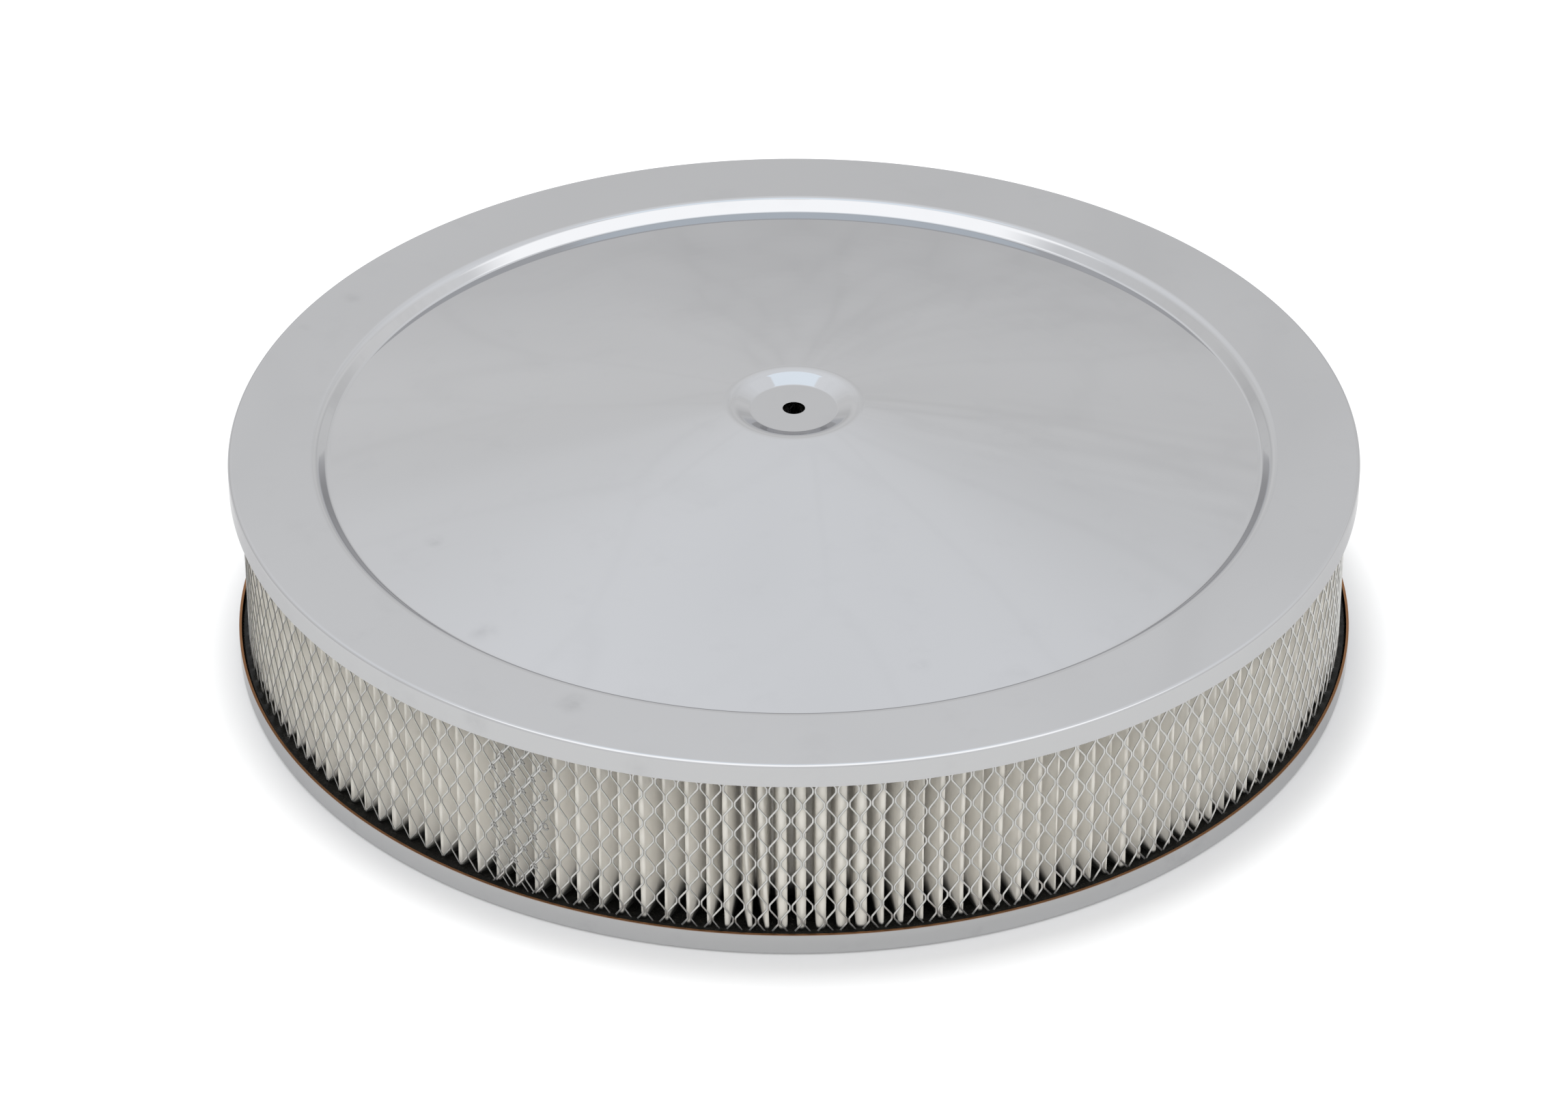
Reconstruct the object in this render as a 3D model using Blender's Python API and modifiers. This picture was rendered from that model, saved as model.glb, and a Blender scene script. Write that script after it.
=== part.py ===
"""Round open-element air cleaner for a carburetor.

A pleated paper element stands between two pressed and chromed steel pans. All sizes are
in metres with +Z up. The origin is on the floor, below the stud hole.
"""
import math

import bmesh
import bpy

MM = 0.001

# Driving sizes of the sheet metal
SHEET = 0.8 * MM
FOLD_RADIUS = 1.2 * MM
FIT_GAP = 0.3 * MM

# Lid
LID_RADIUS = 177.8 * MM
LID_BAND_HEIGHT = 7.5 * MM
LID_STEP_DEPTH = 3.5 * MM
CROWN_RISE = 17.2 * MM
CROWN_BULGE = 0.9 * MM
DIMPLE_MOUTH_RADIUS = 20.0 * MM
DIMPLE_FLOOR_RADIUS = 13.8 * MM
DIMPLE_DEPTH = 2.4 * MM
DIMPLE_FILLET = 6.0 * MM
STUD_HOLE_RADIUS = 3.55 * MM

# Base
RIM_INSET = 0.6 * MM
RIM_HEIGHT = 7.3 * MM
BASE_STEP_HEIGHT = 3.5 * MM
STEP_WIDTH = 3.4 * MM
STEP_FILLET = 1.4 * MM
WELL_RADIUS = 65.6 * MM
WELL_DEPTH = 13.0 * MM
SEAT_WIDTH = 7.0 * MM
NECK_BEND = 2.0 * MM

# Filter element
ELEMENT_HEIGHT = 67.0 * MM
ELEMENT_WIDTH = 24.3 * MM
STEP_TO_ELEMENT = 1.3 * MM
SEAL_WALL = 1.3 * MM
SEAL_HEIGHT = 5.2 * MM
SEAL_FLOOR = 1.2 * MM
SEAL_CHAMFER = 0.6 * MM
STRAND_WIDTH = 1.2 * MM
OUTER_DIAMOND_COUNT = 40
DIAMOND_ROWS = 3
INNER_DIAMOND_COUNT = 24
PLEATS = 180
PAPER_FOLD_DEPTH = 3.0 * MM

# Gasket in the neck
GASKET_THICKNESS = 3.0 * MM

# Smoothness of turned parts
STEPS = 48
ARC_STEPS = 2

# Heights and radii that follow from the driving sizes
BASE_RADIUS = LID_RADIUS - RIM_INSET
ELEMENT_OUTER_RADIUS = BASE_RADIUS - SHEET - FIT_GAP
ELEMENT_INNER_RADIUS = ELEMENT_OUTER_RADIUS - ELEMENT_WIDTH
ELEMENT_BOTTOM = SHEET + FIT_GAP
ELEMENT_TOP = ELEMENT_BOTTOM + ELEMENT_HEIGHT
LID_TOP = ELEMENT_TOP + FIT_GAP + SHEET
STEP_OUTER_RADIUS = ELEMENT_INNER_RADIUS - STEP_TO_ELEMENT
STEP_INNER_RADIUS = STEP_OUTER_RADIUS - STEP_WIDTH
PANEL_EDGE_HEIGHT = LID_TOP - LID_STEP_DEPTH
CROWN_TOP = PANEL_EDGE_HEIGHT + CROWN_RISE
SEAT_HEIGHT = BASE_STEP_HEIGHT + WELL_DEPTH
SEAT_BORE_RADIUS = WELL_RADIUS - SEAT_WIDTH

GROOVE_OUTER_RADIUS = ELEMENT_OUTER_RADIUS - SEAL_WALL
GROOVE_INNER_RADIUS = ELEMENT_INNER_RADIUS + SEAL_WALL
PACK_BOTTOM = ELEMENT_BOTTOM + SEAL_FLOOR + FIT_GAP
PACK_TOP = ELEMENT_TOP - SEAL_FLOOR - FIT_GAP
SCREEN_TO_SEAL = 1.9 * FIT_GAP
OUTER_SCREEN_RADIUS = GROOVE_OUTER_RADIUS - SCREEN_TO_SEAL - STRAND_WIDTH / 2
INNER_SCREEN_RADIUS = GROOVE_INNER_RADIUS + SCREEN_TO_SEAL + STRAND_WIDTH / 2
PLEAT_TO_SCREEN = 2.2 * FIT_GAP
PLEAT_OUTER_RADIUS = OUTER_SCREEN_RADIUS - STRAND_WIDTH / 2 - PLEAT_TO_SCREEN
PLEAT_INNER_RADIUS = INNER_SCREEN_RADIUS + STRAND_WIDTH / 2 + PLEAT_TO_SCREEN


def clear_scene():
    """Remove whatever the scene holds."""
    for item in list(bpy.data.objects):
        bpy.data.objects.remove(item, do_unlink=True)


def make_collection(name):
    """Add a collection to the scene."""
    collection = bpy.data.collections.new(name)
    bpy.context.scene.collection.children.link(collection)
    return collection


def make_material(name, color, roughness, metallic):
    """A plain Principled material."""
    material = bpy.data.materials.new(name)
    material.use_nodes = True
    shader = material.node_tree.nodes["Principled BSDF"]
    shader.inputs["Base Color"].default_value = (*color, 1.0)
    shader.inputs["Roughness"].default_value = roughness
    shader.inputs["Metallic"].default_value = metallic
    material.diffuse_color = (*color, 1.0)
    return material


def rounded_path(corners):
    """Turn (radius, height, fillet) corners into a polyline with round bends.

    A fillet touches both sides of its corner at the same distance from it, and the arc
    between those points is cut into ARC_STEPS chords.
    """
    path = []
    for index, (radius, height, fillet) in enumerate(corners):
        if fillet == 0.0:
            path.append((radius, height))
            continue
        before = corners[index - 1]
        after = corners[index + 1]
        back = math.atan2(before[1] - height, before[0] - radius)
        ahead = math.atan2(after[1] - height, after[0] - radius)
        turn = (ahead - back + math.pi) % math.tau - math.pi
        reach = fillet / math.tan(abs(turn) / 2)
        centre_distance = fillet / math.sin(abs(turn) / 2)
        middle = back + turn / 2
        centre = (radius + centre_distance * math.cos(middle), height + centre_distance * math.sin(middle))
        start = (radius + reach * math.cos(back), height + reach * math.sin(back))
        first = math.atan2(start[1] - centre[1], start[0] - centre[0])
        sweep = math.copysign(math.pi - abs(turn), -turn)
        for step in range(ARC_STEPS + 1):
            angle = first + sweep * step / ARC_STEPS
            path.append((centre[0] + fillet * math.cos(angle), centre[1] + fillet * math.sin(angle)))
    return path


def profile_object(name, path, closed, collection, material):
    """A mesh of edges in the XZ plane, ready for a Screw modifier."""
    mesh = bpy.data.meshes.new(name)
    count = len(path)
    last = count if closed else count - 1
    edges = [(index, (index + 1) % count) for index in range(last)]
    mesh.from_pydata([(radius, 0.0, height) for radius, height in path], edges, [])
    mesh.materials.append(material)
    part = bpy.data.objects.new(name, mesh)
    collection.objects.link(part)
    return part


def turn_profile(part):
    """Spin a profile once round Z."""
    screw = part.modifiers.new("Turn", "SCREW")
    screw.axis = "Z"
    screw.steps = STEPS
    screw.render_steps = STEPS
    screw.use_merge_vertices = True
    screw.merge_threshold = 0.00001
    screw.use_smooth_shade = True


def pressed_sheet(name, corners, collection, material):
    """A pressed steel pan: the outer face as a turned profile, thickened inwards."""
    part = profile_object(name, rounded_path(corners), False, collection, material)
    turn_profile(part)
    wall = part.modifiers.new("Sheet", "SOLIDIFY")
    wall.thickness = SHEET
    wall.offset = -1.0
    wall.use_even_offset = True
    return part


def build_lid(collection, material):
    """Crowned lid with a stud dimple, a locating step and a folded band."""
    crown_span = STEP_INNER_RADIUS - DIMPLE_MOUTH_RADIUS
    crown_middle_radius = DIMPLE_MOUTH_RADIUS + crown_span / 2
    crown_middle = PANEL_EDGE_HEIGHT + CROWN_RISE / 2 + CROWN_BULGE
    dimple_floor = CROWN_TOP - DIMPLE_DEPTH
    corners = [
        (STUD_HOLE_RADIUS, dimple_floor, 0.0),
        (DIMPLE_FLOOR_RADIUS, dimple_floor, 0.0),
        (DIMPLE_MOUTH_RADIUS, CROWN_TOP, DIMPLE_FILLET),
        (crown_middle_radius, crown_middle, 0.0),
        (STEP_INNER_RADIUS, PANEL_EDGE_HEIGHT, STEP_FILLET),
        (STEP_OUTER_RADIUS, LID_TOP, STEP_FILLET),
        (LID_RADIUS, LID_TOP, FOLD_RADIUS),
        (LID_RADIUS, LID_TOP - LID_BAND_HEIGHT, 0.0),
    ]
    return pressed_sheet("lid", corners, collection, material)


def build_base(collection, material):
    """Base pan: upturned rim, element trough, locating step and neck with a gasket seat."""
    corners = [
        (BASE_RADIUS, RIM_HEIGHT, 0.0),
        (BASE_RADIUS, 0.0, FOLD_RADIUS),
        (STEP_OUTER_RADIUS, 0.0, STEP_FILLET),
        (STEP_INNER_RADIUS, BASE_STEP_HEIGHT, STEP_FILLET),
        (WELL_RADIUS, BASE_STEP_HEIGHT, NECK_BEND),
        (WELL_RADIUS, SEAT_HEIGHT, FOLD_RADIUS),
        (SEAT_BORE_RADIUS, SEAT_HEIGHT, 0.0),
    ]
    return pressed_sheet("base_pan", corners, collection, material)


def seal_section():
    """Section of the lower end seal: a channel that the paper and screens stand in."""
    top = ELEMENT_BOTTOM + SEAL_HEIGHT
    return [
        (ELEMENT_OUTER_RADIUS, top),
        (ELEMENT_OUTER_RADIUS, ELEMENT_BOTTOM + SEAL_CHAMFER),
        (ELEMENT_OUTER_RADIUS - SEAL_CHAMFER, ELEMENT_BOTTOM),
        (ELEMENT_INNER_RADIUS, ELEMENT_BOTTOM),
        (ELEMENT_INNER_RADIUS, top),
        (GROOVE_INNER_RADIUS, top),
        (GROOVE_INNER_RADIUS, ELEMENT_BOTTOM + SEAL_FLOOR),
        (GROOVE_OUTER_RADIUS, ELEMENT_BOTTOM + SEAL_FLOOR),
        (GROOVE_OUTER_RADIUS, top),
    ]


def build_seals(collection, material):
    """The two moulded end seals. The upper one is the lower one turned over."""
    section = seal_section()
    lower = profile_object("lower_end_seal", section, True, collection, material)
    turn_profile(lower)
    turned_over = [(radius, ELEMENT_BOTTOM + ELEMENT_TOP - height) for radius, height in section]
    upper = profile_object("upper_end_seal", turned_over[::-1], True, collection, material)
    turn_profile(upper)
    return lower, upper


def build_gasket(collection, material):
    """Flat ring in the neck, which seals the pan to the carburetor's air horn."""
    outer = WELL_RADIUS - FIT_GAP
    top = SEAT_HEIGHT - FIT_GAP
    bend_room = FOLD_RADIUS
    section = [
        (outer, top - bend_room),
        (outer, top - GASKET_THICKNESS),
        (SEAT_BORE_RADIUS, top - GASKET_THICKNESS),
        (SEAT_BORE_RADIUS, top),
        (outer - bend_room, top),
    ]
    gasket = profile_object("neck_gasket", section, True, collection, material)
    turn_profile(gasket)
    return gasket


def zigzag(outer_radius, inner_radius):
    """Points of the pleats' folds, by turns on the outer and the inner radius."""
    points = []
    for fold in range(2 * PLEATS):
        angle = math.pi * fold / PLEATS
        radius = outer_radius if fold % 2 == 0 else inner_radius
        points.append((radius * math.cos(angle), radius * math.sin(angle)))
    return points


def build_paper(collection, material):
    """Pleated paper: the outline between two zigzags, extruded to the pack's height."""
    curve = bpy.data.curves.new("pleat_outline", "CURVE")
    curve.dimensions = "2D"
    curve.fill_mode = "BOTH"
    curve.extrude = (PACK_TOP - PACK_BOTTOM) / 2
    outlines = (
        zigzag(PLEAT_OUTER_RADIUS, PLEAT_INNER_RADIUS + PAPER_FOLD_DEPTH),
        zigzag(PLEAT_OUTER_RADIUS - PAPER_FOLD_DEPTH, PLEAT_INNER_RADIUS),
    )
    for outline in outlines:
        spline = curve.splines.new("POLY")
        spline.points.add(len(outline) - 1)
        for point, (x, y) in zip(spline.points, outline):
            point.co = (x, y, 0.0, 1.0)
        spline.use_cyclic_u = True
    outline_object = bpy.data.objects.new("pleat_outline", curve)
    collection.objects.link(outline_object)
    bpy.context.view_layer.update()
    evaluated = outline_object.evaluated_get(bpy.context.evaluated_depsgraph_get())
    mesh = bpy.data.meshes.new_from_object(evaluated)
    mesh.name = "pleated_paper"
    bpy.data.objects.remove(outline_object, do_unlink=True)
    shape = bmesh.new()
    shape.from_mesh(mesh)
    bmesh.ops.remove_doubles(shape, verts=shape.verts, dist=0.00001)
    bmesh.ops.recalc_face_normals(shape, faces=shape.faces)
    shape.to_mesh(mesh)
    shape.free()
    mesh.materials.clear()
    mesh.materials.append(material)
    paper = bpy.data.objects.new("pleated_paper", mesh)
    paper.location.z = (PACK_TOP + PACK_BOTTOM) / 2
    collection.objects.link(paper)
    return paper


def build_screen(name, radius, diamond_count, collection, material):
    """Expanded metal screen: a cage of staggered diamonds, its edges thickened to strands."""
    levels = DIAMOND_ROWS + 2
    bottom = PACK_BOTTOM + STRAND_WIDTH
    rise = (PACK_TOP - PACK_BOTTOM - 2 * STRAND_WIDTH) / (levels - 1)
    columns = 2 * diamond_count
    cage = bmesh.new()
    knots = {}
    for level in range(levels):
        for column in range(level % 2, columns, 2):
            angle = math.tau * column / columns
            place = (radius * math.cos(angle), radius * math.sin(angle), bottom + rise * level)
            knots[level, column] = cage.verts.new(place)
    for level in range(1, levels - 1):
        for column in range((level + 1) % 2, columns, 2):
            left = knots[level, (column - 1) % columns]
            right = knots[level, (column + 1) % columns]
            cage.faces.new((knots[level - 1, column], right, knots[level + 1, column], left))
    mesh = bpy.data.meshes.new(name)
    cage.to_mesh(mesh)
    cage.free()
    mesh.materials.append(material)
    screen = bpy.data.objects.new(name, mesh)
    collection.objects.link(screen)
    strands = screen.modifiers.new("Strands", "WIREFRAME")
    strands.thickness = STRAND_WIDTH
    strands.offset = 0.0
    strands.use_boundary = True
    strands.use_even_offset = True
    strands.use_relative_offset = False
    strands.use_replace = True
    return screen


def build():
    """Make every piece of the air cleaner."""
    clear_scene()
    collection = make_collection("air_cleaner")
    chrome = make_material("chromed_steel", (0.59, 0.59, 0.60), 0.08, 1.0)
    base_chrome = make_material("chromed_base", (0.59, 0.59, 0.60), 0.10, 1.0)
    strand_steel = make_material("galvanised_strand", (0.62, 0.62, 0.60), 0.35, 1.0)
    inner_steel = make_material("inner_strand", (0.58, 0.58, 0.57), 0.40, 1.0)
    paper = make_material("filter_paper", (0.72, 0.70, 0.64), 0.90, 0.0)
    seal = make_material("black_seal", (0.012, 0.012, 0.011), 0.30, 0.0)
    gasket = make_material("gasket_rubber", (0.02, 0.02, 0.02), 0.65, 0.0)
    build_lid(collection, chrome)
    build_base(collection, base_chrome)
    build_seals(collection, seal)
    build_gasket(collection, gasket)
    build_paper(collection, paper)
    build_screen("outer_screen", OUTER_SCREEN_RADIUS, OUTER_DIAMOND_COUNT, collection, strand_steel)
    build_screen("inner_screen", INNER_SCREEN_RADIUS, INNER_DIAMOND_COUNT, collection, inner_steel)


build()
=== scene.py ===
"""Looks of the round open-element air cleaner, built piece by piece in the order of assembly."""
import math

import bpy
import numpy as np
from mathutils import Matrix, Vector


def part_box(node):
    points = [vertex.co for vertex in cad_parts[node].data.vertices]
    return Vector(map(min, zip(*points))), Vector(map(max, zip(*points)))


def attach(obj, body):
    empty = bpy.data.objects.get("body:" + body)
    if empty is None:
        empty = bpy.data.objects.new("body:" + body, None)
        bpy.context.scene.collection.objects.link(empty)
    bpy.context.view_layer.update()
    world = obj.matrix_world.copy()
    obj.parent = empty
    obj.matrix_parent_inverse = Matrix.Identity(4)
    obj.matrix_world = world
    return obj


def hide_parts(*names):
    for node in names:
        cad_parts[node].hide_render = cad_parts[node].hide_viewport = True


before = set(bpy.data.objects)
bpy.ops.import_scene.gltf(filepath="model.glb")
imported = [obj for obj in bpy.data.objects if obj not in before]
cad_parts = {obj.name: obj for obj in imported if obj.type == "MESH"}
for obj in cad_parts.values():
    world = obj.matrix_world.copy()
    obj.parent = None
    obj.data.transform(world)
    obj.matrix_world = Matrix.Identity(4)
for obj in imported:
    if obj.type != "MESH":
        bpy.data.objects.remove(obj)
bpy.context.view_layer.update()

MM = 0.001

# Base pan: one disc of steel, pressed into an upturned rim, a trough for the element, a
# locating step and a neck with a gasket seat, then chromed all over. The sheared top edge of
# the rim keeps a bare, tinted line.
pan_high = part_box("base_pan")[1]
SHEET = 0.8 * MM
BASE_RADIUS = pan_high.x
RIM_HEIGHT = 7.3 * MM
RIM_FOLD = 1.2 * MM
STEP_OUTER_RADIUS = 150.5 * MM
STEP_INNER_RADIUS = 147.1 * MM
STEP_HEIGHT = 3.5 * MM
RING_BEND = 3.4 * MM
PANEL_BEND = 1.0 * MM
WELL_RADIUS = 65.6 * MM
NECK_BEND = 2.0 * MM
SEAT_HEIGHT = pan_high.z
SEAT_BEND = 1.2 * MM
SEAT_BORE_RADIUS = 58.6 * MM
BEND_CHORDS = 7
FLAT_MARGIN = 0.35 * MM
SHARP_ANGLE = 35.0
PAN_TURNS = 360
CHROME_TINT = (0.585, 0.588, 0.594)
CHROME_GRAZING_TINT = (0.80, 0.80, 0.81)
CHROME_ROUGHNESS = 0.05
HAZE_SHADE = 0.78
HAZE_ROUGHNESS = 0.22
BASE_HAZE = 0.45
BARE_EDGE_TINT = (0.30, 0.15, 0.07)
BARE_EDGE_ROUGHNESS = 0.35
PRESS_WAVES = (16.0, 1.0, 0.4)
PRESS_WAVE_HEIGHT = 0.02 * MM
HAZE_SPOTS = (70.0, 4.0, 0.6)
HAZE_BAND = (0.52, 0.78)
MARK_GRAIN = (140.0, 3.0, 0.5)
MARK_RAGGEDNESS = (0.2, 1.6, 0.35, 0.65)


def bent_path(corners):
    """Outline of a pressed sheet as an array of (radius, height) points.

    Each corner is (radius, height, bend). An arc of that bend radius touches both sides of
    the corner. Long straight runs get a point close to each end, so that smooth shading turns
    only at the bend.
    """
    points = []
    for index, (radius, height, bend) in enumerate(corners):
        here = np.array((radius, height))
        if bend == 0.0:
            points.append(here)
            continue
        back = np.array(corners[index - 1][:2]) - here
        ahead = np.array(corners[index + 1][:2]) - here
        back /= np.linalg.norm(back)
        ahead /= np.linalg.norm(ahead)
        half = math.acos(float(np.clip(back @ ahead, -1.0, 1.0))) / 2
        middle = (back + ahead) / np.linalg.norm(back + ahead)
        centre = here + middle * bend / math.sin(half)
        first = here + back * bend / math.tan(half) - centre
        last = here + ahead * bend / math.tan(half) - centre
        share = np.linspace(0.0, 1.0, BEND_CHORDS + 1)
        opening = math.pi - 2 * half
        weights = np.stack((np.sin((1 - share) * opening), np.sin(share * opening))) / math.sin(opening)
        points.extend(centre + weights.T @ np.stack((first, last)))
    path = np.array(points)
    start, end = path[:-1], path[1:]
    run = np.linalg.norm(end - start, axis=1)
    long_run = run > 4 * FLAT_MARGIN
    step = (end - start) / run[:, None] * FLAT_MARGIN
    extra = np.concatenate(((start + step)[long_run], (end - step)[long_run]))
    number = np.flatnonzero(long_run)
    order = np.concatenate((np.arange(len(path)), number + 1 / 3, number + 2 / 3))
    return np.concatenate((path, extra))[np.argsort(order)]


def sheet_section(outer):
    """Closed section of a sheet: its outer path, then the same path one SHEET behind it.

    Each point moves back along the mean of its two segments' normals, divided by the cosine
    of half the turn there, so that the wall keeps its thickness round the bends.
    """
    step = np.diff(outer, axis=0)
    normal = np.stack((-step[:, 1], step[:, 0]), axis=1) / np.linalg.norm(step, axis=1)[:, None]
    before = np.concatenate((normal[:1], normal))
    after = np.concatenate((normal, normal[-1:]))
    mean = before + after
    mean /= np.linalg.norm(mean, axis=1)[:, None]
    reach = SHEET / np.sum(mean * after, axis=1)
    inner = outer - mean * reach[:, None]
    return np.concatenate((outer, inner[::-1]))


def turned_grid(section, turns):
    """Points of a turned part: (r cos a, r sin a, z) for each section point and each angle a."""
    angle = np.linspace(0.0, math.tau, turns, endpoint=False)[:, None]
    radius, height = section.T
    return np.stack((radius * np.cos(angle), radius * np.sin(angle), height + 0.0 * angle), axis=-1)


def ring_faces(rows, columns, close_rows=True):
    """Corner numbers of the quads of a grid that closes on itself along its columns."""
    row = np.arange(rows if close_rows else rows - 1)[:, None]
    column = np.arange(columns)[None, :]
    next_row = (row + 1) % rows
    next_column = (column + 1) % columns
    corners = (
        row * columns + column,
        row * columns + next_column,
        next_row * columns + next_column,
        next_row * columns + column,
    )
    return np.stack(np.broadcast_arrays(*corners), axis=-1).reshape(-1, 4)


def skin(name, points, faces, material, sharp_angle=SHARP_ANGLE):
    """Make one object from an array of points and an array of quads, smooth between sharp edges."""
    mesh = bpy.data.meshes.new(name)
    mesh.vertices.add(points.size // 3)
    mesh.vertices.foreach_set("co", points.astype(np.float32).ravel())
    mesh.loops.add(faces.size)
    mesh.loops.foreach_set("vertex_index", faces.astype(np.int32).ravel())
    mesh.polygons.add(len(faces))
    mesh.polygons.foreach_set("loop_start", np.arange(0, faces.size, 4, dtype=np.int32))
    mesh.update(calc_edges=True)
    mesh.validate()
    mesh.shade_smooth()
    mesh.set_sharp_from_angle(angle=math.radians(sharp_angle))
    mesh.materials.append(material)
    piece = bpy.data.objects.new(name, mesh)
    bpy.context.scene.collection.objects.link(piece)
    return piece


def turned(name, section, turns, material):
    """A turned part: its closed section carried once round Z."""
    grid = turned_grid(section, turns)
    return skin(name, grid, ring_faces(turns, len(section)), material)


def paint(piece, attribute, values):
    """Store one number a point on a piece, for its material to read."""
    layer = piece.data.attributes.new(attribute, "FLOAT", "POINT")
    layer.data.foreach_set("value", np.asarray(values, np.float32).ravel())


def add_node(tree, kind, settings=None, **sockets):
    """Add a node, with its own settings and the values of its input sockets."""
    made = tree.nodes.new(kind)
    for key, value in (settings or {}).items():
        setattr(made, key, value)
    for key, value in sockets.items():
        made.inputs[key.replace("_", " ")].default_value = value
    return made


def new_material(name, color, roughness, metallic=0.0):
    """A Principled material with its uniform values set on the shader."""
    material = bpy.data.materials.new(name)
    material.use_nodes = True
    shader = material.node_tree.nodes["Principled BSDF"]
    shader.inputs["Base Color"].default_value = (*color, 1.0)
    shader.inputs["Roughness"].default_value = roughness
    shader.inputs["Metallic"].default_value = metallic
    material.diffuse_color = (*color, 1.0)
    return material, material.node_tree, shader


def feed(tree, socket, value):
    """Link a value that is a socket to an input, or set it as a plain value or colour."""
    if isinstance(value, bpy.types.NodeSocket):
        tree.links.new(value, socket)
    elif socket.type == "RGBA":
        socket.default_value = (*value, 1.0)
    else:
        socket.default_value = value


def place_on(tree):
    """Place on the surface, in the piece's own coordinates."""
    return add_node(tree, "ShaderNodeTexCoord").outputs["Object"]


def noise(tree, place, scale, detail, roughness):
    """Smooth random value between 0 and 1 by place, with a scale, a detail and a roughness."""
    texture = add_node(tree, "ShaderNodeTexNoise", Scale=scale, Detail=detail, Roughness=roughness)
    tree.links.new(place, texture.inputs["Vector"])
    return texture.outputs["Fac"]


def roughen(tree, shader, height, strength, depth):
    """Give a shader's surface a fine relief from a height socket."""
    bump = add_node(tree, "ShaderNodeBump", Strength=strength, Distance=depth)
    tree.links.new(height, bump.inputs["Height"])
    tree.links.new(bump.outputs["Normal"], shader.inputs["Normal"])


def mix_colors(tree, factor, first, second):
    """Mix two colours, each a plain colour or a socket, by a factor socket.

    The colour sockets of a Mix node are its inputs 6 and 7 and its output 2.
    """
    mix = add_node(tree, "ShaderNodeMix", {"data_type": "RGBA"})
    tree.links.new(factor, mix.inputs["Factor"])
    feed(tree, mix.inputs[6], first)
    feed(tree, mix.inputs[7], second)
    return mix.outputs[2]


def ranged(tree, value, low, high, from_low=0.0, from_high=1.0, smooth=False):
    """Map a socket's value from one range to another."""
    kind = "SMOOTHSTEP" if smooth else "LINEAR"
    limits = {"From_Min": from_low, "From_Max": from_high, "To_Min": low, "To_Max": high}
    node = add_node(tree, "ShaderNodeMapRange", {"interpolation_type": kind}, **limits)
    tree.links.new(value, node.inputs["Value"])
    return node.outputs["Result"]


def combined(tree, operation, first, second):
    """One Math node on two sockets, or on a socket and a number."""
    node = add_node(tree, "ShaderNodeMath", {"operation": operation})
    feed(tree, node.inputs[0], first)
    feed(tree, node.inputs[1], second)
    return node.outputs["Value"]


def vector_math(tree, operation, *operands):
    """One Vector Math node on sockets and plain vectors: its vector, or what it measures."""
    node = add_node(tree, "ShaderNodeVectorMath", {"operation": operation})
    for socket, value in zip(node.inputs, operands):
        feed(tree, socket, value)
    return node.outputs["Value" if operation in ("LENGTH", "DISTANCE") else "Vector"]


def plated_skin_group():
    """Slow waves that a press leaves in sheet steel, and the faint haze of handled chrome."""
    group = bpy.data.node_groups.new("plated_skin", "ShaderNodeTree")
    for label, kind in (("Place", "Vector"), ("Haze", "Float")):
        group.interface.new_socket(label, in_out="INPUT", socket_type="NodeSocket" + kind)
    for label, kind in (("Haze Mask", "Float"), ("Normal", "Vector")):
        group.interface.new_socket(label, in_out="OUTPUT", socket_type="NodeSocket" + kind)
    start, end = group.nodes.new("NodeGroupInput"), group.nodes.new("NodeGroupOutput")
    links = group.links
    waves = noise(group, start.outputs["Place"], *PRESS_WAVES)
    bump = add_node(group, "ShaderNodeBump", Strength=1.0, Distance=PRESS_WAVE_HEIGHT)
    links.new(waves, bump.inputs["Height"])
    links.new(bump.outputs["Normal"], end.inputs["Normal"])
    spots = noise(group, start.outputs["Place"], *HAZE_SPOTS)
    spread = ranged(group, spots, 0.0, 1.0, *HAZE_BAND, smooth=True)
    links.new(combined(group, "MULTIPLY", spread, start.outputs["Haze"]), end.inputs["Haze Mask"])
    return group


PLATED_SKIN = plated_skin_group()


def chrome(name, haze, marks_in_mm=()):
    """Chrome plate with slow waves, haze, and handling marks, each (x, y, z, reach, strength)."""
    material, tree, shader = new_material(name, CHROME_TINT, CHROME_ROUGHNESS, 1.0)
    shader.inputs["Specular Tint"].default_value = (*CHROME_GRAZING_TINT, 1.0)
    place = place_on(tree)
    plated = add_node(tree, "ShaderNodeGroup", {"node_tree": PLATED_SKIN}, Haze=haze)
    tree.links.new(place, plated.inputs["Place"])
    tree.links.new(plated.outputs["Normal"], shader.inputs["Normal"])
    haze_mask = plated.outputs["Haze Mask"]
    if marks_in_mm:
        ragged = ranged(tree, noise(tree, place, *MARK_GRAIN), *MARK_RAGGEDNESS)
    for x, y, z, reach, strength in marks_in_mm:
        gap = vector_math(tree, "DISTANCE", place, (x * MM, y * MM, z * MM))
        spot = ranged(tree, gap, strength, 0.0, 0.0, reach * MM, smooth=True)
        haze_mask = combined(tree, "ADD", haze_mask, combined(tree, "MULTIPLY", spot, ragged))
    hazed = tuple(HAZE_SHADE * share for share in CHROME_TINT)
    color = mix_colors(tree, haze_mask, CHROME_TINT, hazed)
    bare = add_node(tree, "ShaderNodeAttribute", {"attribute_name": "bare_edge"}).outputs["Fac"]
    tree.links.new(mix_colors(tree, bare, color, BARE_EDGE_TINT), shader.inputs["Base Color"])
    rough = ranged(tree, haze_mask, CHROME_ROUGHNESS, HAZE_ROUGHNESS)
    rough = combined(tree, "ADD", rough, ranged(tree, bare, 0.0, BARE_EDGE_ROUGHNESS))
    tree.links.new(rough, shader.inputs["Roughness"])
    return material


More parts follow.
